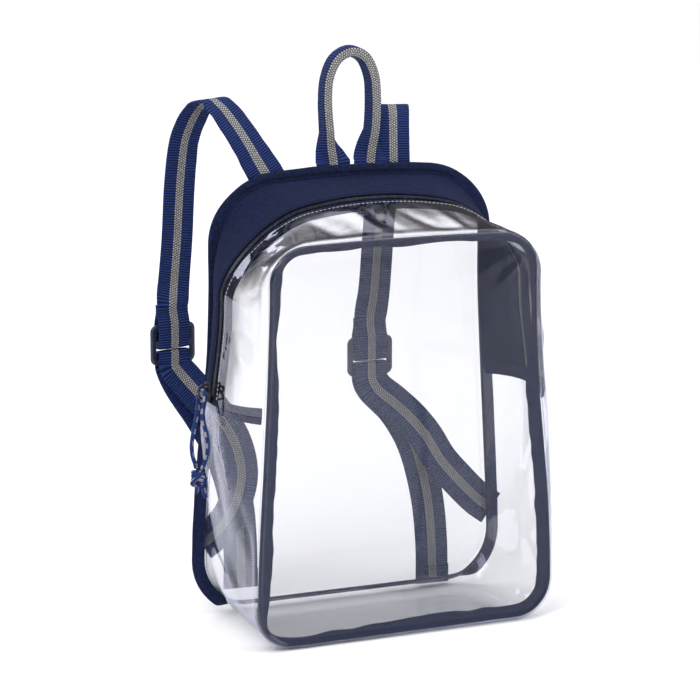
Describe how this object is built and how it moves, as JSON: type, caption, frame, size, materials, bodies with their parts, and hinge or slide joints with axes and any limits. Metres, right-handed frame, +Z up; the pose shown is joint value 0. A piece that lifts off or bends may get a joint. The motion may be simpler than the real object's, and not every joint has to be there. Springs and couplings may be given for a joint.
{
  "type": "backpack",
  "caption": "Clear vinyl backpack with navy bound seams, an arched top zip with a cord pull, a folded webbing grab handle and webbing shoulder straps with sliders.",
  "frame": {"origin": "on the floor, in the middle of the flat base", "axes": "+X to the right of someone who faces the front, the front faces -Y, +Z up"},
  "size_m": [0.2595, 0.1453, 0.3873],
  "materials": {
    "clear_vinyl": "clear glossy sheet",
    "navy_fabric": "fine plain weave",
    "navy_tape": "ribbed tape",
    "striped_webbing": "ribbed webbing with a grey middle stripe",
    "dark_plastic": "satin moulded",
    "coil_plastic": "moulded coil",
    "slider_metal": "dark lacquer",
    "braided_cord": "braid with light flecks"
  },
  "bodies": {
    "root": {"front_panel": "clear_vinyl", "back_panel": "clear_vinyl", "lower_gusset": "clear_vinyl", "front_gusset": "clear_vinyl", "rear_gusset": "navy_fabric", "front_binding": "navy_tape", "back_binding": "navy_tape", "side_binding_left": "navy_tape", "side_binding_right": "navy_tape", "zipper_tape_rear": "navy_tape", "zipper_tape_front": "navy_tape", "zipper_coil": "coil_plastic", "zipper_slider": "slider_metal", "pull_cord_front": "braided_cord", "pull_cord_rear": "braided_cord", "pull_knot": "braided_cord", "grab_handle": "striped_webbing", "shoulder_strap_left": "striped_webbing", "shoulder_strap_right": "striped_webbing", "adjuster_strap_left": "striped_webbing", "adjuster_strap_right": "striped_webbing", "strap_slider_left": "dark_plastic", "strap_slider_right": "dark_plastic"}
  },
  "joints": []
}
